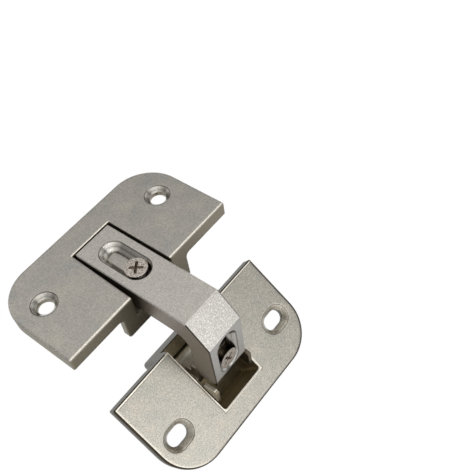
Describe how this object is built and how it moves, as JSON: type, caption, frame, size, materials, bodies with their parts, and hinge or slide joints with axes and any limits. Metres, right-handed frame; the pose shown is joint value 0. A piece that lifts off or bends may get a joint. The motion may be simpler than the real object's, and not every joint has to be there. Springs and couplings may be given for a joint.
{
  "type": "concealed hinge",
  "caption": "Concealed hinge with flat screw-on plates joined by a cranked arm that slides in a trough, adjusts on a slotted leg and turns on a pin in a pocket.",
  "frame": {"origin": "midway between the fixed plate's two screw holes, where they open on the back of its web", "axes": "+X from the fixed plate to the moving plate, +Y along the hinge pin, +Z out of the fixed plate's face"},
  "size_m": [0.0712, 0.07, 0.0533],
  "materials": {
    "plate_casting": "satin nickel on a zinc die casting",
    "arm_casting": "satin nickel on a zinc die casting",
    "screw_steel": "nickel-plated steel",
    "pin_steel": "ground bright steel"
  },
  "bodies": {
    "fixed_plate": {"fixed_plate": "plate_casting", "arm_screw": "screw_steel"},
    "cranked_arm": {"cranked_arm": "arm_casting"},
    "pivot_carrier": {"pivot_carrier": "arm_casting", "leg_screw": "screw_steel"},
    "moving_plate": {"moving_plate": "plate_casting", "pivot_pin": "pin_steel"}
  },
  "joints": [
    {"name": "arm_slide", "type": "slide", "parent": "fixed_plate", "child": "cranked_arm", "axis": [1, 0, 0], "range_m": [0, 0.0095]},
    {"name": "carrier_slide", "type": "slide", "parent": "cranked_arm", "child": "pivot_carrier", "axis": [0, 0, 1], "range_m": [0, 0.009]},
    {"name": "plate_hinge", "type": "hinge", "parent": "pivot_carrier", "child": "moving_plate", "pos_m": [0.0303, 0, -0.0321], "axis": [0, 1, 0], "range_deg": [-38.6, 61.4]}
  ]
}
